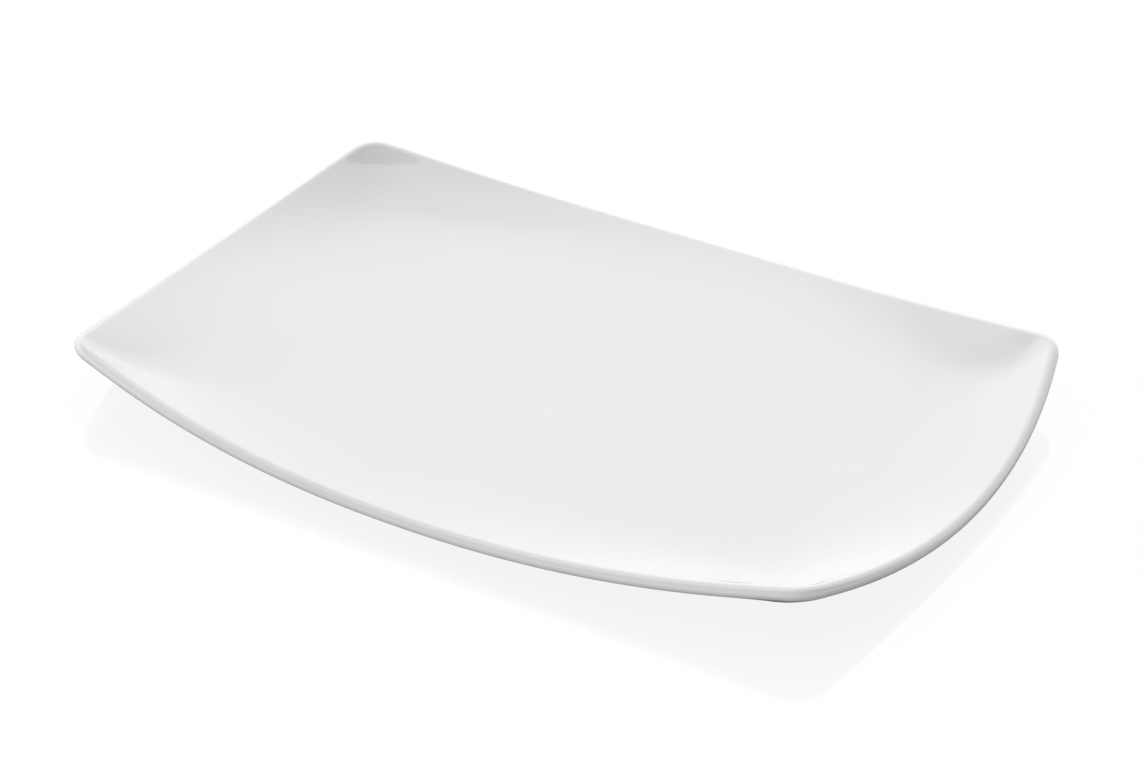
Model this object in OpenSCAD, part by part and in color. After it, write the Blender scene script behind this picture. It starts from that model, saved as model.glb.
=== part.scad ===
// Rectangular plate: bowed sides, raised corners, a round lip and a low bare foot ring.
// Origin: middle of the face it stands on. X runs along the long side, Z is up. Millimetres.

/* [Outline] */
// Overall length of the plate
plate_l = 300; // [240:1:400]
// Overall width of the plate
plate_w = 200; // [160:1:280]
// How far the middle of each long side bows out past its corners
long_bow = 14.9; // [4:0.1:20]
// How far the middle of each short side bows out past its corners
short_bow = 13.6; // [4:0.1:20]
// Radius of the corners in plan
corner_r = 13; // [8:0.5:25]

/* [Well] */
// Width of the slope between the well and the lip on the long sides
long_slope_w = 42; // [24:1:50]
// Width of the slope between the well and the lip on the short sides
short_slope_w = 44; // [24:1:55]
// How far the middle of the well's long sides bows out
well_long_bow = 8; // [3:0.5:14]
// How far the middle of the well's short sides bows out
well_short_bow = 16; // [6:0.5:20]
// Radius of the well's corners in plan
well_corner_r = 36; // [24:1:45]

/* [Rim] */
// Height of the lip's crest above the table at the middle of a side
side_crest = 9.1; // [8:0.1:14]
// Height of the lip's crest above the table at a corner
corner_crest = 20.4; // [14:0.1:34]
// How late the lip climbs to the corner along a long side
long_climb = 2.3; // [1.6:0.1:3]
// How late the lip climbs to the corner along a short side
short_climb = 2; // [1.6:0.1:3]
// How late the slope climbs from the well to the lip at the middle of a side
slope_climb = 2.8; // [1.6:0.1:4]
// How late the slope climbs from the well to the lip at a corner
corner_slope_climb = 3.5; // [1.6:0.1:4.5]

/* [Ware] */
// Thickness of the ware with its glaze, which is also the diameter of the round lip
ware_t = 4.4; // [3.4:0.1:6]
// Thickness of the glaze coat
glaze_t = 0.4; // [0.2:0.05:0.6]

/* [Foot] */
// Height of the recess under the well
foot_h = 2.2; // [2:0.1:4]
// Distance from the edge of the well to the middle of the foot ring
foot_set = 6; // [5:0.5:20]
// Width of the foot ring where it leaves the underside
foot_root_w = 6; // [5:0.1:9]
// Width of the flat face that the foot ring stands on
foot_face_w = 2.8; // [2:0.1:4]
// Radius of the edges beside the standing face
foot_edge_r = 0.5; // [0.2:0.05:0.7]
// Height of the bare clay left at the bottom of the foot ring
bare_h = 0.8; // [0.75:0.05:1]
// Radius that the glaze fills between the foot ring and the underside
pool_r = 0.8; // [0.4:0.05:0.8]

/* [Hidden] */

// Steps along half a long side, a corner and half a short side
long_steps = 9;
corner_steps = 6;
short_steps = 7;
quarter_steps = long_steps + corner_steps + short_steps;
ring_steps = 4 * quarter_steps;
// Rings on the slope, on the lip above its glaze joint, below it, and on a small round
slope_steps = 7;
lip_top_steps = 5;
lip_low_steps = 2;
round_steps = 3;

// The face glaze wraps the lip to this angle, measured from the upper side of the slope
glaze_joint_angle = 130;
lip_r = ware_t / 2;
clay_r = lip_r - glaze_t;
// Heights of the middle of the ware in the well and of the clay's underside there
mid_z = foot_h + lip_r;
clay_z = foot_h + glaze_t;
// How soon the two climbs give way to each other at a corner
corner_blend = 10;
// Steps over which a direction on the surface is read, as a share of one ring
probe_share = 0.02;

glaze_colour = "white";
clay_colour = [0.93, 0.91, 0.87];

// Outlines are rows of half length, half width, long bow, short bow and corner radius
plate_outline = [plate_l / 2, plate_w / 2, long_bow, short_bow, corner_r];
well_outline = [
    plate_l / 2 - short_slope_w,
    plate_w / 2 - long_slope_w,
    well_long_bow,
    well_short_bow,
    well_corner_r
];

function unit(v) = v / norm(v);
function direction(angle) = [cos(angle), sin(angle)];

// Radius of an arc from half its chord and its bow
function bow_radius(half_chord, bow) = (half_chord * half_chord + bow * bow) / (2 * bow);

// Centre of the corner's round, which touches both side arcs from inside
function corner_centre(long_c, long_r, short_c, short_r) =
    let (
        along = short_c - long_c,
        gap = norm(along),
        reach = (long_r * long_r - short_r * short_r + gap * gap) / (2 * gap),
        rise = sqrt(long_r * long_r - reach * reach),
        base = long_c + unit(along) * reach,
        across = [along[1], -along[0]] / gap
    )
    base + across * rise;

// Angle of a point seen from a centre
function bearing(from, to) = atan2(to[1] - from[1], to[0] - from[0]);

// One quarter of an outline as rows of arc centre, arc radius and direction out of the arc,
// from the middle of a short side to the middle of a long side
function quarter_stations(outline) =
    let (
        half_l = outline[0],
        half_w = outline[1],
        long_r = bow_radius(half_l - outline[3], outline[2]),
        short_r = bow_radius(half_w - outline[2], outline[3]),
        round_r = outline[4],
        long_c = [0, half_w - long_r],
        short_c = [half_l - short_r, 0],
        round_c = corner_centre(long_c, long_r - round_r, short_c, short_r - round_r),
        short_end = bearing(short_c, round_c),
        long_end = bearing(long_c, round_c)
    )
    [
        for (i = [0 : short_steps - 1])
            [short_c, short_r, short_end * i / short_steps],
        for (i = [0 : corner_steps - 1])
            [round_c, round_r, short_end + (long_end - short_end) * i / corner_steps],
        for (i = [0 : long_steps])
            [long_c, long_r, long_end + (90 - long_end) * i / long_steps]
    ];

// Points of an outline drawn inwards by inset, counter-clockwise from the middle of +X
function outline_points(outline, inset = 0) =
    let (
        stations = quarter_stations(outline),
        quarter = [for (s = stations) s[0] + direction(s[2]) * (s[1] - inset)],
        last = quarter_steps
    )
    [
        for (i = [0 : last - 1]) quarter[i],
        for (i = [0 : last - 1]) [-quarter[last - i][0], quarter[last - i][1]],
        for (i = [0 : last - 1]) [-quarter[i][0], -quarter[i][1]],
        for (i = [0 : last - 1]) [quarter[last - i][0], -quarter[last - i][1]]
    ];

function level_ring(points, z) = [for (p = points) [p[0], p[1], z]];

// Sharp corner that the two bowed sides would meet in, less the lip's radius
corner_x = plate_l / 2 - short_bow - lip_r;
corner_y = plate_w / 2 - long_bow - lip_r;

// Share of the climb from side to corner at a point of the lip. The lesser of the two
// climbs rules, and they are blended where they cross.
function climb_share(p) =
    let (
        along = pow(max(abs(p[0]) / corner_x, probe_share), -long_climb * corner_blend),
        across = pow(max(abs(p[1]) / corner_y, probe_share), -short_climb * corner_blend)
    )
    pow(along + across, -1 / corner_blend);

lip_plan = outline_points(plate_outline, lip_r);
well_plan = outline_points(well_outline);
// The climb is measured so that the crest at the corner's middle is the stated one
corner_point = short_steps + corner_steps / 2;
full_climb = climb_share(lip_plan[corner_point]);
climb_shares = [for (p = lip_plan) climb_share(p) / full_climb];
lip_z = [for (s = climb_shares) side_crest - lip_r + (corner_crest - side_crest) * s];
column_climbs = [for (s = climb_shares) slope_climb + (corner_slope_climb - slope_climb) * s];

// Middle of the ware at column j, from the well's edge at t = 0 to the lip at t = 1
function mid_point(j, t) =
    let (
        column = (j + ring_steps) % ring_steps,
        p = well_plan[column] + (lip_plan[column] - well_plan[column]) * t,
        z = mid_z + (lip_z[column] - mid_z) * pow(t, column_climbs[column])
    )
    [p[0], p[1], z];

function ring_tangent(j, t) = unit(mid_point(j + 1, t) - mid_point(j - 1, t));
function slope_tangent(j, t) =
    unit(mid_point(j, t + probe_share) - mid_point(j, max(t - probe_share, 0)));
function upward(j, t) = unit(cross(slope_tangent(j, t), ring_tangent(j, t)));
function outward(j) = unit(cross(ring_tangent(j, 1), upward(j, 1)));

// Ring of the slope at height offset from the middle of the ware
function slope_ring(t, offset) = [
    for (j = [0 : ring_steps - 1]) mid_point(j, t) + upward(j, t) * offset
];
// Ring of the lip at an angle from its upper side
function lip_ring(angle, radius) = [
    for (j = [0 : ring_steps - 1])
        mid_point(j, 1) + (upward(j, 1) * cos(angle) + outward(j) * sin(angle)) * radius
];

function reversed(rows) = [for (i = [len(rows) - 1 : -1 : 0]) rows[i]];

// Rings of one surface of the ware, from the well's edge outwards
function slope_rings(offset) = [
    for (m = [0 : slope_steps - 1]) slope_ring(m / slope_steps, offset)
];
// Rings of the lip over and under its glaze joint
function lip_top_rings(radius) = [
    for (m = [0 : lip_top_steps]) lip_ring(glaze_joint_angle * m / lip_top_steps, radius)
];
function lip_low_rings(radius) = [
    for (m = [0 : lip_low_steps])
        lip_ring(glaze_joint_angle + (180 - glaze_joint_angle) * m / lip_low_steps, radius)
];

// Foot ring in plan: the well's edge drawn in by foot_set
function foot_ring_at(offset, z) =
    level_ring(outline_points(well_outline, foot_set - offset), z);
// Half width of the clay foot at a height, without the rounds beside its face
foot_flank_w = foot_face_w + 2 * foot_edge_r;
function flank(z) = foot_flank_w / 2 + (foot_root_w - foot_flank_w) / 2 * z / clay_z;

// Rings of the glaze on the outer (side = 1) or inner (side = -1) flank of the foot ring,
// from the underside down to the glaze line, and of the clay behind it
function foot_glaze_rings(side) = [
    for (m = [0 : round_steps])
        let (
            angle = 90 * m / round_steps,
            z = foot_h - pool_r * (1 - cos(angle)),
            reach = flank(z) + glaze_t + pool_r * (1 - sin(angle))
        )
        foot_ring_at(side * reach, z),
    foot_ring_at(side * (flank(bare_h + glaze_t) + glaze_t), bare_h + glaze_t),
    foot_ring_at(side * flank(bare_h), bare_h)
];
// Rings of one rounded edge beside the standing face, from its flank to the face
function foot_edge_rings(side) = [
    for (m = [0 : round_steps])
        let (angle = 90 * m / round_steps)
        foot_ring_at(
            side * (foot_face_w / 2 + foot_edge_r * cos(angle)),
            foot_edge_r * (1 - sin(angle))
        )
];

// Two triangles for each cell between two rings, split along the cell's shorter diagonal
function cell_faces(points, a, b, c, d) =
    norm(points[a] - points[c]) < norm(points[b] - points[d])
        ? [[a, b, c], [a, c, d]]
        : [[a, b, d], [b, c, d]];
function band_faces(points, low, high) = [
    for (j = [0 : ring_steps - 1])
        let (next = (j + 1) % ring_steps)
        each cell_faces(
            points,
            low * ring_steps + j,
            low * ring_steps + next,
            high * ring_steps + next,
            high * ring_steps + j
        )
];

// Solid between stacked rings whose first and last are closed by flat faces
module capped(rings) {
    points = [for (r = rings) each r];
    top = len(rings) - 1;
    polyhedron(
        points = points,
        faces = [
            for (m = [0 : top - 1]) each band_faces(points, m, m + 1),
            [for (j = [ring_steps - 1 : -1 : 0]) j],
            [for (j = [0 : ring_steps - 1]) top * ring_steps + j]
        ]
    );
}

// Solid ring whose last ring meets its first
module looped(rings) {
    points = [for (r = rings) each r];
    count = len(rings);
    polyhedron(
        points = points,
        faces = [for (m = [0 : count - 1]) each band_faces(points, m, (m + 1) % count)]
    );
}

// Fired clay of the well, the slope and the lip's core
module biscuit_body() {
    color(clay_colour)
        capped(concat(
            slope_rings(clay_r),
            lip_top_rings(clay_r),
            [for (m = [1 : lip_low_steps]) lip_low_rings(clay_r)[m]],
            reversed(slope_rings(-clay_r))
        ));
}

// Bare clay ring that the plate stands on
module foot_ring() {
    color(clay_colour)
        looped(concat(
            [foot_ring_at(flank(clay_z), clay_z), foot_ring_at(flank(bare_h), bare_h)],
            foot_edge_rings(1),
            reversed(foot_edge_rings(-1)),
            [foot_ring_at(-flank(bare_h), bare_h), foot_ring_at(-flank(clay_z), clay_z)]
        ));
}

// Glaze over the well, the slope and the lip
module face_glaze() {
    color(glaze_colour)
        capped(concat(
            slope_rings(lip_r),
            lip_top_rings(lip_r),
            reversed(lip_top_rings(clay_r)),
            reversed(slope_rings(clay_r))
        ));
}

// Glaze under the slope, from the lip's joint to the glaze line on the foot ring
module underside_glaze() {
    color(glaze_colour)
        looped(concat(
            lip_low_rings(lip_r),
            reversed(slope_rings(-lip_r)),
            foot_glaze_rings(1),
            [foot_ring_at(flank(clay_z), clay_z)],
            slope_rings(-clay_r),
            reversed(lip_low_rings(clay_r))
        ));
}

// Glaze on the recess inside the foot ring
module recess_glaze() {
    color(glaze_colour)
        capped(concat(
            [foot_ring_at(-flank(clay_z), clay_z)],
            reversed(foot_glaze_rings(-1))
        ));
}

biscuit_body();
foot_ring();
face_glaze();
underside_glaze();
recess_glaze();
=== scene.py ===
"""Looks of a white porcelain serving plate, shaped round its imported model."""

import math

import bmesh
import bpy
from mathutils import Matrix, Vector


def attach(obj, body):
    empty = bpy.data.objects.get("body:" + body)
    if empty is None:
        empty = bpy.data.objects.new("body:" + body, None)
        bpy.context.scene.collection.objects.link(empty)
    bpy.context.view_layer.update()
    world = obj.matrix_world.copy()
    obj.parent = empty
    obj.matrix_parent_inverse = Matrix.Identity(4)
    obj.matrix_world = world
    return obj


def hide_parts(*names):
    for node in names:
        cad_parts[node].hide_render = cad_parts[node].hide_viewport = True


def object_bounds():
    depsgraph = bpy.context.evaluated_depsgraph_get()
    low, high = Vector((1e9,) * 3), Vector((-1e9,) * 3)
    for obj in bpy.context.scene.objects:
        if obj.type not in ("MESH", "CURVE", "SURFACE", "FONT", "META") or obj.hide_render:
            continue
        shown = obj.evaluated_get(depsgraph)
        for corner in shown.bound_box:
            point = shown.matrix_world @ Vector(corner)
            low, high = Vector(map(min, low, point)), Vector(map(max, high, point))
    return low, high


bl_info = {
    "name": "Porcelain serving plate",
    "version": (1, 0, 0),
    "blender": (4, 5, 0),
    "location": "3D View > Sidebar > Plate",
    "description": "Makes a rectangular glazed plate with a bare foot ring",
    "category": "Add Mesh",
}

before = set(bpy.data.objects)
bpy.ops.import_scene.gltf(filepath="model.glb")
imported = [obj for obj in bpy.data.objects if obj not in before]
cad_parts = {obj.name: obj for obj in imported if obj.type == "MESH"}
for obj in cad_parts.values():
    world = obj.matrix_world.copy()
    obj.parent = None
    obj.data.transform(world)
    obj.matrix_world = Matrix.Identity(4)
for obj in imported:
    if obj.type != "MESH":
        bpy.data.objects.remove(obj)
CAD_LOW, CAD_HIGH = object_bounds()
MM = 0.001

# Steps of a quarter of the plate, from the middle of a short side to the middle of a long side
SHORT_STEPS = 20
CORNER_STEPS = 18
LONG_STEPS = 26
QUARTER_STEPS = SHORT_STEPS + CORNER_STEPS + LONG_STEPS
SHORT_STOP = SHORT_STEPS / QUARTER_STEPS
CORNER_STOP = (SHORT_STEPS + CORNER_STEPS) / QUARTER_STEPS
# Steps across the slope, over the lip down to its glaze joint, below it, and on a small round
SLOPE_STEPS = 22
LIP_TOP_STEPS = 18
LIP_LOW_STEPS = 7
ROUND_STEPS = 6
# Angle round the lip where the face glaze meets the underside glaze
GLAZE_JOINT = math.radians(130)
# Noise in a glaze and in bare clay: features to the metre, and octaves of detail
CLOUD_NOISE = (14.0, 3.0)
SPECK_NOISE = (900.0, 2.0)
WAVE_NOISE = (30.0, 1.0)
SKIN_NOISE = (700.0, 2.0)
GRAIN_NOISE = (1800.0, 4.0)
PORE_NOISE = (900.0, 2.0)
# Levels of that noise between which clouds, specks and pores fade in
CLOUD_LEVELS = (0.35, 0.65)
SPECK_LEVELS = (0.70, 0.76)
PORE_LEVELS = (0.64, 0.70)
# Depths of the waves on the face and the underside, of the glaze's skin and of the clay's grain
FACE_WAVE_DEPTH = 0.12 * MM
BACK_WAVE_DEPTH = 0.25 * MM
SKIN_DEPTH = 0.002 * MM
GRAIN_DEPTH = 0.05 * MM
# Glaze between clouds and at a speck as a share of its colour, and how much specks show
CLEAR_TONE = 0.985
SPECK_TONE = 0.88
SPECK_SHARE = 0.25
# Roughness of the glaze, what clouds add to it, its refraction, and a smoother shine over it
GLAZE_ROUGHNESS = 0.05
CLOUD_ROUGHNESS = 0.04
GLAZE_INDEX = 1.55
COAT_SHARE = 0.8
COAT_ROUGHNESS = 0.03
# Clay between grains, at a grain, in a pore and where it is rubbed as a share of its colour
GROUND_TONE = 0.9
GRAIN_TONE = 1.06
PORE_TONE = 0.6
RUBBED_TONE = 0.82
# How much pores and rubbing show, and the heights over the table between which rubbing ends
PORE_SHARE = 0.6
RUBBED_SHARE = 0.35
RUBBED_HEIGHTS = (0.05 * MM, 0.4 * MM)
# Roughness of clay, what rubbing takes off it, how much its relief shows, and how deep pores are
CLAY_ROUGHNESS = 0.85
RUBBED_SMOOTHING = 0.2
RELIEF_SHARE = 0.6
PORE_DEPTH_SHARE = 0.8
# Table: its side, how far it lies under the foot, and how many plates away it goes over to white
FLOOR_SIDE = 6.0
FLOOR_GAP = 0.05 * MM
FLOOR_NEAR = 1.0
FLOOR_FAR = 1.62
# How square the line is along which it goes over: 2 is an ellipse
FLOOR_SQUARENESS = 4
# White of the table to the camera and to the plate, and how much light comes up through it
FLOOR_WHITE = 0.96
FLOOR_BOUNCE = 0.26
FLOOR_CLEAR = 0.4
# Share of the table that is pure white to the camera, and its shine
FLOOR_GLOW = 0.96
FLOOR_SHINE = 0.105
# Camera's sensor in millimetres, and the angle from which each lamp's light comes
SENSOR = 36.0
KEY_SPREAD = math.radians(105)
LOW_SPREAD = math.radians(30)
FILL_SPREAD = math.radians(60)
# Dark parts of the room that the glaze mirrors: each has its depth, lies on the inner side of
# planes through the plate, and fades in across an edge on each plane. The first is behind the
# camera, the second is the deeper part of it high over the table, and the third and fourth are a
# slot and a soft shade to the left
DARK_PARTS = (
    (0.45, 0.01, ((1.054, -1.0, -0.07),)),
    (1.0, 0.01, ((1.054, -1.0, -0.07), (-0.508, 0.482, 1.0))),
    (1.0, 0.01, ((-1.0, 0.0, -0.92), (1.0, 0.0, 1.2), (0.0, -1.0, -0.05))),
    (0.65, 0.07, ((-1.0, 0.0, -0.55), (1.0, 0.0, 1.35), (0.0, -0.4, 0.26))),
)
# Rings in the flat well, as shares of the way from its edge to the plate's middle
WELL_DRAW_INS = (0.6, 0.3, 0.1, 0.03)
WHITE = (1.0, 1.0, 1.0)
HALF_TURN = math.pi
QUARTER_TURN = math.pi / 2
# Angle from which two faces meet in a sharp edge
SHARP_ANGLE = math.radians(40)
TREE_NAME = "Plate ware"
# How soon the two climbs of the rim give way to each other at a corner
CORNER_BLEND = 10.0
# Share of a side within which the rim stays level at the side's middle
LEAST_CLIMB = 0.02
# Step over which a direction on the surface is read, as a share of the quarter or the slope
PROBE = 0.004


def size(name, description, value):
    """A length in metres."""
    return bpy.props.FloatProperty(
        name=name, description=description, default=value, min=0.0, unit="LENGTH", precision=4
    )


def share(name, description, value, low, high):
    """A plain number between two limits."""
    return bpy.props.FloatProperty(
        name=name, description=description, default=value, min=low, max=high
    )


def colour(name, description, value):
    """A colour of the plate."""
    return bpy.props.FloatVectorProperty(
        name=name, description=description, default=value, subtype="COLOR", min=0.0, max=1.0
    )


class PlateSizes(bpy.types.PropertyGroup):
    """Sizes of the plate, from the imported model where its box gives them."""

    length: size("Length", "Overall length", CAD_HIGH.x - CAD_LOW.x)
    width: size("Width", "Overall width", CAD_HIGH.y - CAD_LOW.y)
    long_bow: size("Long bow", "How far a long side bows out past its corners", 14.9 * MM)
    short_bow: size("Short bow", "How far a short side bows out past its corners", 13.6 * MM)
    corner_radius: size("Corner radius", "Radius of the corners in plan", 13 * MM)
    long_slope: size("Long slope", "Width of the slope on the long sides", 42 * MM)
    short_slope: size("Short slope", "Width of the slope on the short sides", 44 * MM)
    well_long_bow: size("Well long bow", "Bow of the well's long sides", 8 * MM)
    well_short_bow: size("Well short bow", "Bow of the well's short sides", 16 * MM)
    well_radius: size("Well radius", "Radius of the well's corners in plan", 36 * MM)
    side_crest: size("Side crest", "Height of the lip at the middle of a side", 9.1 * MM)
    corner_crest: size("Corner crest", "Height of the lip at a corner", CAD_HIGH.z)
    long_climb: share("Long climb", "How late the lip climbs along a long side", 2.3, 1.0, 4.0)
    short_climb: share("Short climb", "How late the lip climbs along a short side", 2.0, 1.0, 4.0)
    slope_climb: share(
        "Slope climb", "How late the slope climbs to the lip of a side", 2.8, 1.0, 5.0
    )
    corner_slope_climb: share(
        "Corner slope climb", "How late the slope climbs to a corner", 3.5, 1.0, 5.0
    )
    ware: size("Ware", "Thickness of the ware with its glaze", 4.4 * MM)
    glaze: size("Glaze", "Thickness of the glaze", 0.4 * MM)
    foot_height: size("Foot height", "Height of the recess under the well", 2.2 * MM)
    foot_set: size("Foot set", "Distance from the well's edge to the foot's middle", 6 * MM)
    foot_root: size("Foot root", "Width of the foot where it leaves the ware", 6 * MM)
    foot_face: size("Foot face", "Width of the standing face", 2.8 * MM)
    foot_edge: size("Foot edge", "Radius beside the standing face", 0.5 * MM)
    bare: size("Bare height", "Height of the bare clay on the foot", 0.8 * MM)
    pool: size("Pool", "Radius of the glaze pooled beside the foot", 0.8 * MM)


class PlateFinish(bpy.types.PropertyGroup):
    """Colours of the plate."""

    glaze: colour("Glaze", "Colour of the face under its glaze", (0.80, 0.80, 0.798))
    underside: colour("Underside", "Colour of the underside glaze", (0.76, 0.76, 0.756))
    clay: colour("Clay", "Colour of the bare fired clay", (0.62, 0.595, 0.55))


class PlateStudio(bpy.types.PropertyGroup):
    """Camera and light of the photograph."""

    lens: bpy.props.FloatProperty(
        name="Lens", description="Focal length in millimetres", default=108.01
    )
    azimuth: share("Azimuth", "Camera's turn round the plate in radians", 0.5639, -3.2, 3.2)
    elevation: share("Elevation", "Camera's height over the table in radians", 0.5472, 0.0, 1.57)
    roll: share("Roll", "Camera's roll in radians", -0.008, -1.0, 1.0)
    distance: size("Distance", "From the camera to the point that it aims at", 1.1259)
    aim: bpy.props.FloatVectorProperty(
        name="Aim",
        description="Point that the camera aims at",
        default=(-0.00123, 0.00617, 0.0),
        unit="LENGTH",
    )
    key: share("Key lamp", "Strength of the wide lamp behind the plate", 1.5, 0.0, 10.0)
    key_azimuth: share(
        "Key azimuth", "Turn of both lamps behind the plate in radians", -2.578, -3.2, 3.2
    )
    key_elevation: share(
        "Key elevation", "The wide lamp's height over the table in radians", 0.593, 0.0, 1.57
    )
    low: share("Low lamp", "Strength of the low lamp behind the plate", 1.2, 0.0, 10.0)
    low_elevation: share(
        "Low elevation", "The low lamp's height over the table in radians", 0.192, 0.0, 1.57
    )
    fill: share("Fill lamp", "Strength of the low lamp in front of the plate", 1.35, 0.0, 10.0)
    fill_azimuth: share("Fill azimuth", "Turn of the lamp in front in radians", -0.785, -3.2, 3.2)
    fill_elevation: share(
        "Fill elevation", "That lamp's height over the table in radians", 0.175, 0.0, 1.57
    )
    sky: share("Sky", "Strength of the room's light", 0.585, 0.0, 2.0)


class Wire:
    """A node's output, on which Python's operators add Math nodes."""

    def __init__(self, tree, socket):
        self.tree = tree
        self.socket = socket

    def maths(self, operation, *operands):
        settings = {"operation": operation}
        return node(self.tree, "ShaderNodeMath", settings, dict(enumerate(operands)))

    def __add__(self, other):
        return self.maths("ADD", self, other)

    def __radd__(self, other):
        return self.maths("ADD", other, self)

    def __sub__(self, other):
        return self.maths("SUBTRACT", self, other)

    def __rsub__(self, other):
        return self.maths("SUBTRACT", other, self)

    def __mul__(self, other):
        return self.maths("MULTIPLY", self, other)

    def __rmul__(self, other):
        return self.maths("MULTIPLY", other, self)

    def __truediv__(self, other):
        return self.maths("DIVIDE", self, other)

    def __pow__(self, other):
        return self.maths("POWER", self, other)

    def __abs__(self):
        return self.maths("ABSOLUTE", self)


def node(tree, kind, settings=None, inputs=None, output=0):
    """Adds a node, sets it, then fills its sockets with values or wires, and returns one output."""
    made = tree.nodes.new(kind)
    for name, value in (settings or {}).items():
        setattr(made, name, value)
    for name, value in (inputs or {}).items():
        if isinstance(value, Wire):
            tree.links.new(value.socket, made.inputs[name])
        else:
            made.inputs[name].default_value = value
    return Wire(tree, made.outputs[output])


def vector(operation, *operands):
    """A Vector Math node on wires or points."""
    settings = {"operation": operation}
    return node(operands[0].tree, "ShaderNodeVectorMath", settings, dict(enumerate(operands)))


def scaled(direction, factor):
    """A vector wire times a number."""
    operands = {"Vector": direction, "Scale": factor}
    return node(direction.tree, "ShaderNodeVectorMath", {"operation": "SCALE"}, operands)


def cosine(angle):
    return angle.maths("COSINE", angle) if isinstance(angle, Wire) else math.cos(angle)


def sine(angle):
    return angle.maths("SINE", angle) if isinstance(angle, Wire) else math.sin(angle)


def lesser(a, b):
    return a.maths("MINIMUM", a, b) if isinstance(a, Wire) else min(a, b)


def greater(a, b):
    return a.maths("MAXIMUM", a, b) if isinstance(a, Wire) else max(a, b)


def ramped(value, low, high):
    """0 at low and 1 at high, held at both ends."""
    return greater(lesser((value - low) / (high - low), 1.0), 0.0)


def bow_radius(half_chord, bow):
    """Radius of an arc from half its chord and its bow."""
    return (half_chord**2 + bow**2) / (2 * bow)


def outline_facts(half_length, half_width, long_bow, short_bow, radius):
    """Radii and end angles of the two side arcs and the corner round between them."""
    long_radius = bow_radius(half_length - short_bow, long_bow)
    short_radius = bow_radius(half_width - long_bow, short_bow)
    long_centre = Vector((0, half_width - long_radius))
    short_centre = Vector((half_length - short_radius, 0))
    along = short_centre - long_centre
    to_long = long_radius - radius
    to_short = short_radius - radius
    reach = (to_long**2 - to_short**2 + along.length_squared) / (2 * along.length)
    rise = math.sqrt(to_long**2 - reach**2)
    across = Vector((along.y, -along.x)).normalized()
    corner = long_centre + along.normalized() * reach + across * rise
    return {
        "half length": half_length,
        "long radius": long_radius,
        "short radius": short_radius,
        "corner radius": radius,
        "short end": math.atan2(corner.y, corner.x - short_centre.x),
        "long end": math.atan2(corner.y - long_centre.y, corner.x),
    }


def plate_facts(sizes):
    """The plate's own outline."""
    return outline_facts(
        sizes.length / 2, sizes.width / 2, sizes.long_bow, sizes.short_bow, sizes.corner_radius
    )


def well_facts(sizes):
    """The outline of the flat well."""
    return outline_facts(
        sizes.length / 2 - sizes.short_slope,
        sizes.width / 2 - sizes.long_slope,
        sizes.well_long_bow,
        sizes.well_short_bow,
        sizes.well_radius,
    )


def outline_point(facts, around, inset):
    """X and Y of an outline drawn inwards by inset, at a share of the quarter turn."""
    on_short = lesser(around / SHORT_STOP, 1.0) * facts["short end"]
    on_corner = ramped(around, SHORT_STOP, CORNER_STOP) * (facts["long end"] - facts["short end"])
    past_corner = greater((around - CORNER_STOP) / (1 - CORNER_STOP), 0.0)
    on_long = past_corner * (QUARTER_TURN - facts["long end"])
    stretches = (
        (facts["short radius"], 0.0, on_short),
        (facts["corner radius"], facts["short end"], on_corner),
        (facts["long radius"], facts["long end"], on_long),
    )
    x, y = facts["half length"], 0.0
    for radius, start, swept in stretches:
        x = (cosine(swept + start) - cosine(start)) * radius + x
        y = (sine(swept + start) - sine(start)) * radius + y
    angle = on_short + on_corner + on_long
    return x - cosine(angle) * inset, y - sine(angle) * inset


def climb_share(x, y, rim):
    """Share of the climb to the corner: the lesser of two climbs rules, and they blend there."""
    along = greater(abs(x / rim["corner x"]), LEAST_CLIMB) ** rim["long climb"]
    across = greater(abs(y / rim["corner y"]), LEAST_CLIMB) ** rim["short climb"]
    low, high = lesser(along, across), greater(along, across)
    return low / ((low / high) ** CORNER_BLEND + 1.0) ** (1 / CORNER_BLEND)


def rim_facts(sizes):
    """Heights and climbs of the lip's centre line."""
    lip_radius = sizes.ware / 2
    rim = {
        "corner x": sizes.length / 2 - sizes.short_bow - lip_radius,
        "corner y": sizes.width / 2 - sizes.long_bow - lip_radius,
        "long climb": sizes.long_climb,
        "short climb": sizes.short_climb,
        "slope climb": sizes.slope_climb,
        "corner slope climb": sizes.corner_slope_climb,
        "lip radius": lip_radius,
        "middle height": sizes.foot_height + lip_radius,
        "side height": sizes.side_crest - lip_radius,
    }
    corner = outline_point(plate_facts(sizes), (SHORT_STOP + CORNER_STOP) / 2, lip_radius)
    rim["full climb"] = climb_share(*corner, rim)
    rim["climb height"] = sizes.corner_crest - sizes.side_crest
    return rim


def ware_point(facts, around, slope, inset=0.0, draw_in=0.0):
    """Middle of the ware in the first quarter, from the well's edge at slope 0 to the lip at 1."""
    well_x, well_y = outline_point(facts["well"], around, inset)
    rim = facts["rim"]
    lip_x, lip_y = outline_point(facts["plate"], around, rim["lip radius"])
    climbed = climb_share(lip_x, lip_y, rim) / rim["full climb"]
    lip_z = climbed * rim["climb height"] + rim["side height"]
    slope_climb = climbed * (rim["corner slope climb"] - rim["slope climb"]) + rim["slope climb"]
    middle = rim["middle height"]
    kept = 1.0 - draw_in
    axes = (
        ((lip_x - well_x) * slope + well_x) * kept,
        ((lip_y - well_y) * slope + well_y) * kept,
        (lip_z - middle) * slope**slope_climb + middle,
    )
    return node(around.tree, "ShaderNodeCombineXYZ", None, dict(enumerate(axes)))


def stored(tree, name, axis):
    """One axis of a vector that the blank's vertices carry."""
    settings = {"data_type": "FLOAT_VECTOR"}
    kept = node(tree, "GeometryNodeInputNamedAttribute", settings, {"Name": name})
    return node(tree, "ShaderNodeSeparateXYZ", None, {0: kept}, axis)


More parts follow.
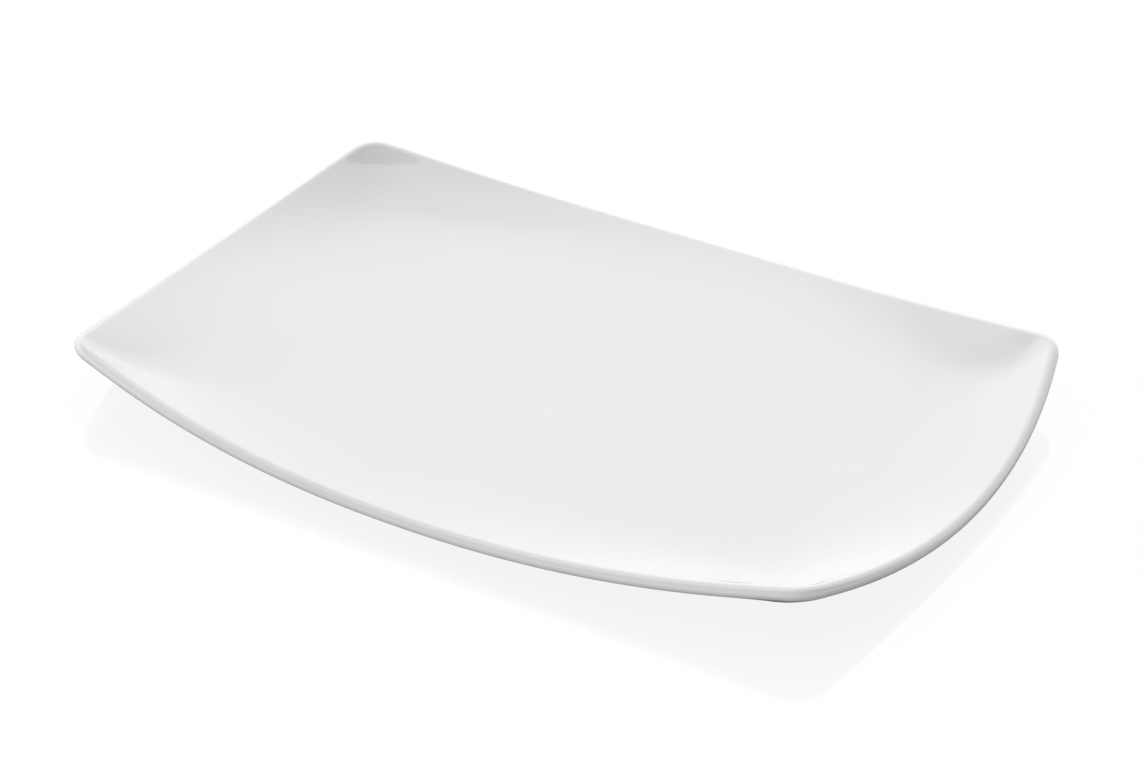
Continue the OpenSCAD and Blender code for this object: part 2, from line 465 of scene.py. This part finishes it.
def size_wires(tree, facts):
    """Gives the tree a named input for each fact, and returns wires to them in the same groups."""
    for group, values in facts.items():
        for name in values:
            label = f"{group} {name}".capitalize()
            tree.interface.new_socket(label, in_out="INPUT", socket_type="NodeSocketFloat")
    entry = tree.nodes.new("NodeGroupInput")
    wires = {}
    for group, values in facts.items():
        sockets = {name: entry.outputs[f"{group} {name}".capitalize()] for name in values}
        wires[group] = {name: Wire(tree, socket) for name, socket in sockets.items()}
    return entry, wires


def ware_tree(facts):
    """Geometry nodes that shape a blank into ware by the rule of its outlines and heights."""
    tree = bpy.data.node_groups.new(TREE_NAME, "GeometryNodeTree")
    tree.interface.new_socket("Ware", in_out="OUTPUT", socket_type="NodeSocketGeometry")
    tree.interface.new_socket("Blank", in_out="INPUT", socket_type="NodeSocketGeometry")
    tree.interface.new_socket("Finish", in_out="INPUT", socket_type="NodeSocketMaterial")
    entry, wires = size_wires(tree, facts)
    around, slope, inset = (stored(tree, "place", axis) for axis in range(3))
    reach, draw_in, rise = (stored(tree, "offset", axis) for axis in range(3))
    ahead = ware_point(wires, around + PROBE, slope)
    behind = ware_point(wires, around - PROBE, slope)
    along = vector("NORMALIZE", vector("SUBTRACT", ahead, behind))
    higher = ware_point(wires, around, slope + PROBE)
    lower = ware_point(wires, around, greater(slope - PROBE, 0.0))
    uphill = vector("SUBTRACT", higher, lower)
    upward = vector("NORMALIZE", vector("CROSS_PRODUCT", uphill, along))
    outward = vector("CROSS_PRODUCT", along, upward)
    shift = vector("ADD", scaled(outward, reach), scaled(upward, rise))
    quarter = vector("ADD", ware_point(wires, around, slope, inset, draw_in), shift)
    signs = [stored(tree, "side", axis) for axis in range(3)]
    signs = node(tree, "ShaderNodeCombineXYZ", None, dict(enumerate(signs)))
    position = vector("MULTIPLY", quarter, signs)
    blank = Wire(tree, entry.outputs["Blank"])
    finish = Wire(tree, entry.outputs["Finish"])
    shaped = node(tree, "GeometryNodeSetPosition", None, {"Geometry": blank, "Position": position})
    real = node(tree, "GeometryNodeRealizeInstances", None, {"Geometry": shaped})
    dressed = node(tree, "GeometryNodeSetMaterial", None, {"Geometry": real, "Material": finish})
    leave = tree.nodes.new("NodeGroupOutput")
    tree.links.new(dressed.socket, leave.inputs["Ware"])
    return tree


def steps(count):
    """Shares from 0 to 1 in count steps, both ends included."""
    return [index / count for index in range(count + 1)]


def slope_rows(offset):
    """Rows of one side from the flat well up the slope to the lip, which isn't included."""
    well = [(0.0, 0.0, 0.0, draw_in, offset) for draw_in in WELL_DRAW_INS]
    return well + [(part, 0.0, 0.0, 0.0, offset) for part in steps(SLOPE_STEPS)[:-1]]


def lip_rows(start, stop, count, radius):
    """Rows round the lip between two angles from its upper side."""
    turns = [start + (stop - start) * part for part in steps(count)]
    return [(1.0, 0.0, radius * math.sin(turn), 0.0, radius * math.cos(turn)) for turn in turns]


def under_slope_rows(offset):
    """Rows of the slope's underside, from below the lip in to the well's edge."""
    return [(part, 0.0, 0.0, 0.0, -offset) for part in steps(SLOPE_STEPS)[:-1]][::-1]


def drawn_in(row, draw_in):
    """The same row moved towards the plate's middle."""
    return (*row[:3], draw_in, row[4])


def foot_row(sizes, offset, height):
    """Row under the well at an offset outwards from the foot ring's middle."""
    return (0.0, sizes.foot_set - offset, 0.0, 0.0, height - sizes.foot_height - sizes.ware / 2)


def flank(sizes, height):
    """Half width of the clay foot at a height, without the rounds beside its face."""
    foot_width = sizes.foot_face + 2 * sizes.foot_edge
    root_height = sizes.foot_height + sizes.glaze
    return foot_width / 2 + (sizes.foot_root - foot_width) / 2 * height / root_height


def foot_root_row(sizes, side):
    """Row where the clay foot meets the clay under the well."""
    height = sizes.foot_height + sizes.glaze
    return foot_row(sizes, side * flank(sizes, height), height)


def foot_glaze_rows(sizes, side):
    """Rows of the glaze on one flank of the foot, from the underside down to the glaze line."""
    rows = []
    for part in steps(ROUND_STEPS):
        turn = QUARTER_TURN * part
        height = sizes.foot_height - sizes.pool * (1 - math.cos(turn))
        reach = flank(sizes, height) + sizes.glaze + sizes.pool * (1 - math.sin(turn))
        rows.append(foot_row(sizes, side * reach, height))
    for part in steps(ROUND_STEPS):
        turn = QUARTER_TURN * part
        height = sizes.bare + sizes.glaze * (1 - math.sin(turn))
        reach = flank(sizes, height) + sizes.glaze * math.cos(turn)
        rows.append(foot_row(sizes, side * reach, height))
    return rows


def foot_edge_rows(sizes, side):
    """Rows of one rounded edge beside the standing face."""
    rows = []
    for part in steps(ROUND_STEPS):
        turn = QUARTER_TURN * part
        reach = sizes.foot_face / 2 + sizes.foot_edge * math.cos(turn)
        rows.append(foot_row(sizes, side * reach, sizes.foot_edge * (1 - math.sin(turn))))
    return rows


def blank_mesh(name, rows, looped):
    """Rows of vertices that carry their place on the ware, joined round and from row to row."""
    shell = bmesh.new()
    place = shell.verts.layers.float_vector.new("place")
    offset = shell.verts.layers.float_vector.new("offset")
    side = shell.verts.layers.float_vector.new("side")
    columns = []
    for quarter, (side_x, side_y) in enumerate(((1, 1), (-1, 1), (-1, -1), (1, -1))):
        for part in steps(QUARTER_STEPS)[:-1]:
            columns.append((1 - part if quarter % 2 else part, (side_x, side_y, 1)))
    rings = []
    for slope, inset, reach, draw_in, rise in rows:
        ring = []
        for around, signs in columns:
            made = shell.verts.new()
            made[place] = (around, slope, inset)
            made[offset] = (reach, draw_in, rise)
            made[side] = signs
            ring.append(made)
        rings.append(ring)
    pairs = list(zip(rings, rings[1:]))
    if looped:
        pairs.append((rings[-1], rings[0]))
    else:
        shell.faces.new(rings[0])
        shell.faces.new(reversed(rings[-1]))
    for low, high in pairs:
        for index, corner in enumerate(low):
            after = (index + 1) % len(low)
            shell.faces.new((corner, high[index], high[after], low[after]))
    mesh = bpy.data.meshes.new(name)
    shell.to_mesh(mesh)
    shell.free()
    return mesh


def modifier_input(modifier, label, value):
    """Sets a modifier's input by the identifier of its socket."""
    for item in modifier.node_group.interface.items_tree:
        if item.name == label and item.in_out == "INPUT":
            modifier[item.identifier] = value
            return
    raise ValueError(f"the tree has no input {label}")


def make_piece(context, name, stands_for, rows, finish, looped=False):
    """Shapes a blank with the ware tree, makes it a plain mesh and puts it on the frame."""
    sizes = context.scene.plate_sizes
    facts = {"plate": plate_facts(sizes), "well": well_facts(sizes), "rim": rim_facts(sizes)}
    tree = bpy.data.node_groups.get(TREE_NAME) or ware_tree(facts)
    blank = bpy.data.objects.new(name + "_blank", blank_mesh(name, rows, looped))
    context.collection.objects.link(blank)
    modifier = blank.modifiers.new("Ware", "NODES")
    modifier.node_group = tree
    for group, values in facts.items():
        for label, value in values.items():
            modifier_input(modifier, f"{group} {label}".capitalize(), value)
    modifier_input(modifier, "Finish", finish)
    seen = blank.evaluated_get(context.evaluated_depsgraph_get())
    mesh = bpy.data.meshes.new_from_object(seen)
    blank.modifiers.remove(modifier)
    bpy.data.objects.remove(blank)
    for label in ("place", "offset", "side"):
        mesh.attributes.remove(mesh.attributes[label])
    mesh.name = name
    mesh.polygons.foreach_set("use_smooth", [True] * len(mesh.polygons))
    mesh.set_sharp_from_angle(angle=SHARP_ANGLE)
    piece = bpy.data.objects.new(name, mesh)
    context.collection.objects.link(piece)
    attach(piece, "root")
    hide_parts(stands_for)
    return piece


def mixed(tree, factor, low, high):
    """Colour between two, by a Mix node."""
    settings = {"data_type": "RGBA", "clamp_factor": True}
    return node(tree, "ShaderNodeMix", settings, {"Factor": factor, 6: low, 7: high}, 2)


def noise(tree, kind, place):
    """Smooth noise of a kind: its features to the metre, and its octaves of detail."""
    scale, detail = kind
    inputs = {"Vector": place, "Scale": scale, "Detail": detail}
    return node(tree, "ShaderNodeTexNoise", None, inputs)


def bumped(tree, strength, depth, height, under=None):
    """A normal from a height of up to depth metres."""
    inputs = {"Strength": strength, "Distance": depth, "Height": height}
    if under:
        inputs["Normal"] = under
    return node(tree, "ShaderNodeBump", None, inputs)


def object_place(tree):
    """Place on the object in metres."""
    return node(tree, "ShaderNodeTexCoord", None, None, "Object")


def new_material(name, shade):
    """A node material whose surface is what shade returns for its tree."""
    material = bpy.data.materials.new(name)
    material.use_nodes = True
    tree = material.node_tree
    tree.nodes.clear()
    surface = shade(tree)
    end = tree.nodes.new("ShaderNodeOutputMaterial")
    tree.links.new(surface.socket, end.inputs["Surface"])
    return material


def tinted(tone, factor):
    """A colour with its channels times a factor, as a socket takes it."""
    return (*(channel * factor for channel in tone), 1.0)


def glaze_material(name, tone, wave_depth):
    """White glaze: faint clouds in its colour and shine, rare specks, slow waves, a fine skin."""

    def shade(tree):
        place = object_place(tree)
        clouds = ramped(noise(tree, CLOUD_NOISE, place), *CLOUD_LEVELS)
        specks = ramped(noise(tree, SPECK_NOISE, place), *SPECK_LEVELS)
        base = mixed(tree, clouds, tinted(tone, CLEAR_TONE), tinted(tone, 1.0))
        base = mixed(tree, specks * SPECK_SHARE, base, tinted(tone, SPECK_TONE))
        waves = bumped(tree, 1.0, wave_depth, noise(tree, WAVE_NOISE, place))
        skin = bumped(tree, 1.0, SKIN_DEPTH, noise(tree, SKIN_NOISE, place), waves)
        inputs = {
            "Base Color": base,
            "Roughness": clouds * CLOUD_ROUGHNESS + GLAZE_ROUGHNESS,
            "IOR": GLAZE_INDEX,
            "Normal": skin,
            "Coat Weight": COAT_SHARE,
            "Coat Roughness": COAT_ROUGHNESS,
        }
        return node(tree, "ShaderNodeBsdfPrincipled", None, inputs, "BSDF")

    return new_material(name, shade)


def clay_material(name, tone):
    """Bare fired clay: dry grain, pores and a face that is rubbed where it stands."""

    def shade(tree):
        place = object_place(tree)
        grain = noise(tree, GRAIN_NOISE, place)
        pores = ramped(noise(tree, PORE_NOISE, place), *PORE_LEVELS)
        height = node(tree, "ShaderNodeSeparateXYZ", None, {0: place}, 2)
        rubbed = 1.0 - ramped(height, *RUBBED_HEIGHTS)
        base = mixed(tree, grain, tinted(tone, GROUND_TONE), tinted(tone, GRAIN_TONE))
        base = mixed(tree, pores * PORE_SHARE, base, tinted(tone, PORE_TONE))
        base = mixed(tree, rubbed * RUBBED_SHARE * grain, base, tinted(tone, RUBBED_TONE))
        rough = CLAY_ROUGHNESS - rubbed * RUBBED_SMOOTHING
        relief = bumped(tree, RELIEF_SHARE, GRAIN_DEPTH, grain - pores * PORE_DEPTH_SHARE)
        inputs = {"Base Color": base, "Roughness": rough, "Normal": relief}
        return node(tree, "ShaderNodeBsdfPrincipled", None, inputs, "BSDF")

    return new_material(name, shade)


def light_path(tree, kind):
    return node(tree, "ShaderNodeLightPath", None, None, kind)


def mixed_shader(tree, factor, first, second):
    """One shader at factor 0 and the other at 1."""
    return node(tree, "ShaderNodeMixShader", None, {"Fac": factor, 1: first, 2: second})


def floor_material(name):
    """Glossy milk-white table: light comes up through it, and it goes over to pure white."""

    def shade(tree):
        place = object_place(tree)
        axes = [node(tree, "ShaderNodeSeparateXYZ", None, {0: place}, axis) for axis in range(2)]
        along, across = abs(axes[0]) / CAD_HIGH.x, abs(axes[1]) / CAD_HIGH.y
        away = along**FLOOR_SQUARENESS + across**FLOOR_SQUARENESS
        far = ramped(away ** (1 / FLOOR_SQUARENESS), FLOOR_NEAR, FLOOR_FAR)
        camera, glossy = light_path(tree, "Is Camera Ray"), light_path(tree, "Is Glossy Ray")
        tone = mixed(tree, camera, tinted(WHITE, FLOOR_BOUNCE), tinted(WHITE, FLOOR_WHITE))
        white = {"Color": tinted(WHITE, 1.0)}
        matt = node(tree, "ShaderNodeBsdfDiffuse", None, {"Color": tone})
        glow = node(tree, "ShaderNodeEmission", None, {**white, "Strength": 1.0})
        mirror = node(tree, "ShaderNodeBsdfAnisotropic", None, {**white, "Roughness": 0.0})
        glowing = greater(camera * (far * (1.0 - FLOOR_GLOW) + FLOOR_GLOW), glossy * far)
        shown = mixed_shader(tree, glowing, matt, glow)
        surface = mixed_shader(tree, (1.0 - far) * FLOOR_SHINE, shown, mirror)
        clear = node(tree, "ShaderNodeBsdfTransparent")
        back = node(tree, "ShaderNodeNewGeometry", None, None, "Backfacing")
        lighting = greater(light_path(tree, "Is Diffuse Ray"), light_path(tree, "Is Shadow Ray"))
        return mixed_shader(tree, greater(back, lighting * FLOOR_CLEAR), surface, clear)

    return new_material(name, shade)


def within(ray, edge, planes):
    """1 for a ray to the inner side of every plane, which its normal gives, and 0 past an edge."""
    inside = 1.0
    for plane in planes:
        dot = {"operation": "DOT_PRODUCT"}
        along = node(ray.tree, "ShaderNodeVectorMath", dot, {0: ray, 1: plane}, "Value")
        inside = ramped(along, -edge, edge) * inside
    return inside


def white_world(context, strength):
    """A room that reads as white to the camera and, but for its dark parts, in the glaze."""
    world = bpy.data.worlds.new("Room")
    world.use_nodes = True
    tree = world.node_tree
    tree.nodes.clear()
    glossy = light_path(tree, "Is Glossy Ray")
    seen = greater(light_path(tree, "Is Camera Ray"), glossy)
    seen = greater(seen, light_path(tree, "Is Transmission Ray"))
    ray = node(tree, "ShaderNodeTexCoord", None, None, "Generated")
    dark = 0.0
    for depth, edge, planes in DARK_PARTS:
        dark = greater(within(ray, edge, planes) * depth, dark)
    level = seen * (1.0 - strength) + strength
    inputs = {"Color": tinted(WHITE, 1.0), "Strength": level * (1.0 - dark * glossy)}
    sky = node(tree, "ShaderNodeBackground", None, inputs)
    end = tree.nodes.new("ShaderNodeOutputWorld")
    tree.links.new(sky.socket, end.inputs["Surface"])
    context.scene.world = world


def add_lamp(context, name, strength, spread, direction):
    """A far lamp whose light comes from a wide angle, and which the glaze doesn't mirror."""
    lamp = bpy.data.lights.new(name, "SUN")
    lamp.energy = strength
    lamp.angle = spread
    holder = bpy.data.objects.new(name, lamp)
    holder.location = direction
    holder.rotation_euler = direction.to_track_quat("Z", "Y").to_euler()
    holder.visible_glossy = False
    context.collection.objects.link(holder)


def towards(azimuth, elevation):
    """Direction at an azimuth from the front of the plate and an elevation over the table."""
    level = math.cos(elevation)
    return Vector((math.sin(azimuth) * level, -math.cos(azimuth) * level, math.sin(elevation)))


def add_camera(context, studio):
    """The camera of the photograph."""
    back = towards(studio.azimuth, studio.elevation)
    right = Vector((0, 0, 1)).cross(back).normalized()
    up = back.cross(right)
    turned_right = right * math.cos(studio.roll) + up * math.sin(studio.roll)
    turned_up = up * math.cos(studio.roll) - right * math.sin(studio.roll)
    place = Vector(studio.aim) + back * studio.distance
    lens = bpy.data.cameras.new("Camera")
    lens.lens = studio.lens
    lens.sensor_width = SENSOR
    camera = bpy.data.objects.new("Camera", lens)
    camera.matrix_world = Matrix.Translation(place) @ Matrix(
        (turned_right, turned_up, back)
    ).transposed().to_4x4()
    context.collection.objects.link(camera)
    context.scene.camera = camera


def add_floor(context):
    """A plain square table top under the plate."""
    half = FLOOR_SIDE / 2
    corners = [(-half, -half, 0), (half, -half, 0), (half, half, 0), (-half, half, 0)]
    mesh = bpy.data.meshes.new("Floor")
    mesh.from_pydata(corners, [], [(0, 1, 2, 3)])
    mesh.materials.append(floor_material("White table"))
    floor = bpy.data.objects.new("Floor", mesh)
    floor.location.z = -FLOOR_GAP
    context.collection.objects.link(floor)


class PLATE_OT_face_glaze(bpy.types.Operator):
    """Make the glaze over the well and the slope, wrapped round the lip"""

    bl_idname = "plate.face_glaze"
    bl_label = "Face glaze"

    def execute(self, context):
        sizes, finish = context.scene.plate_sizes, context.scene.plate_finish
        outer = sizes.ware / 2
        inner = outer - sizes.glaze
        face = slope_rows(outer) + lip_rows(0, GLAZE_JOINT, LIP_TOP_STEPS, outer)
        back = slope_rows(inner) + lip_rows(0, GLAZE_JOINT, LIP_TOP_STEPS, inner)
        material = glaze_material("Face glaze", finish.glaze, FACE_WAVE_DEPTH)
        rows = face + back[::-1]
        make_piece(context, "face_glaze_coat", "face_glaze", rows, material)
        return {"FINISHED"}


class PLATE_OT_underside_glaze(bpy.types.Operator):
    """Make the glaze under the slope and the patch inside the foot ring"""

    bl_idname = "plate.underside_glaze"
    bl_label = "Underside glaze"

    def execute(self, context):
        sizes, finish = context.scene.plate_sizes, context.scene.plate_finish
        outer = sizes.ware / 2
        inner = outer - sizes.glaze
        material = glaze_material("Underside glaze", finish.underside, BACK_WAVE_DEPTH)
        rows = lip_rows(GLAZE_JOINT, HALF_TURN, LIP_LOW_STEPS, outer) + under_slope_rows(outer)
        rows += foot_glaze_rows(sizes, 1) + [foot_root_row(sizes, 1)]
        rows += under_slope_rows(inner)[::-1]
        rows += lip_rows(HALF_TURN, GLAZE_JOINT, LIP_LOW_STEPS, inner)
        make_piece(context, "underside_coat", "underside_glaze", rows, material, True)
        rows = [foot_root_row(sizes, -1)] + foot_glaze_rows(sizes, -1)[::-1]
        rows = [drawn_in(rows[0], draw_in) for draw_in in WELL_DRAW_INS] + rows
        rows += [drawn_in(rows[-1], draw_in) for draw_in in reversed(WELL_DRAW_INS)]
        make_piece(context, "recess_coat", "recess_glaze", rows, material)
        return {"FINISHED"}


class PLATE_OT_fired_clay(bpy.types.Operator):
    """Make the fired clay of the plate and the ring that it stands on"""

    bl_idname = "plate.fired_clay"
    bl_label = "Fired clay"

    def execute(self, context):
        sizes, finish = context.scene.plate_sizes, context.scene.plate_finish
        inner = sizes.ware / 2 - sizes.glaze
        material = clay_material("Fired clay", finish.clay)
        rows = slope_rows(inner) + lip_rows(0, HALF_TURN, LIP_TOP_STEPS + LIP_LOW_STEPS, inner)
        rows += slope_rows(-inner)[::-1]
        make_piece(context, "clay_body", "biscuit_body", rows, material)
        low_outer = foot_row(sizes, flank(sizes, sizes.bare), sizes.bare)
        low_inner = foot_row(sizes, -flank(sizes, sizes.bare), sizes.bare)
        rows = [foot_root_row(sizes, 1), low_outer] + foot_edge_rows(sizes, 1)
        rows += foot_edge_rows(sizes, -1)[::-1] + [low_inner, foot_root_row(sizes, -1)]
        make_piece(context, "clay_foot", "foot_ring", rows, material, True)
        return {"FINISHED"}


class PLATE_OT_stage(bpy.types.Operator):
    """Make the table, the room, the lamps and the camera of the photograph"""

    bl_idname = "plate.stage"
    bl_label = "Stage"

    def execute(self, context):
        studio = context.scene.plate_studio
        add_floor(context)
        white_world(context, studio.sky)
        key = towards(studio.key_azimuth, studio.key_elevation)
        low = towards(studio.key_azimuth, studio.low_elevation)
        fill = towards(studio.fill_azimuth, studio.fill_elevation)
        add_lamp(context, "Key", studio.key, KEY_SPREAD, key)
        add_lamp(context, "Low", studio.low, LOW_SPREAD, low)
        add_lamp(context, "Fill", studio.fill, FILL_SPREAD, fill)
        add_camera(context, studio)
        context.scene.view_settings.view_transform = "Standard"
        return {"FINISHED"}


class PLATE_PT_panel(bpy.types.Panel):
    """Lists the plate's pieces and its stage"""

    bl_idname = "PLATE_PT_panel"
    bl_label = "Porcelain serving plate"
    bl_space_type = "VIEW_3D"
    bl_region_type = "UI"
    bl_category = "Plate"

    def draw(self, context):
        for operator in OPERATORS:
            self.layout.operator(operator.bl_idname)
        for group in ("plate_sizes", "plate_finish", "plate_studio"):
            owner = getattr(context.scene, group)
            for name in owner.__annotations__:
                self.layout.prop(owner, name)


OPERATORS = (PLATE_OT_fired_clay, PLATE_OT_face_glaze, PLATE_OT_underside_glaze, PLATE_OT_stage)
GROUPS = {"plate_sizes": PlateSizes, "plate_finish": PlateFinish, "plate_studio": PlateStudio}


def register():
    for kind in (*GROUPS.values(), *OPERATORS, PLATE_PT_panel):
        bpy.utils.register_class(kind)
    for name, kind in GROUPS.items():
        setattr(bpy.types.Scene, name, bpy.props.PointerProperty(type=kind))


def unregister():
    for name in GROUPS:
        delattr(bpy.types.Scene, name)
    for kind in (PLATE_PT_panel, *reversed(OPERATORS), *GROUPS.values()):
        bpy.utils.unregister_class(kind)


def main():
    """Registers the add-on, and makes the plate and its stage."""
    register()
    bpy.ops.plate.fired_clay()
    bpy.ops.plate.face_glaze()
    bpy.ops.plate.underside_glaze()
    bpy.ops.plate.stage()


if __name__ == "__main__":
    main()
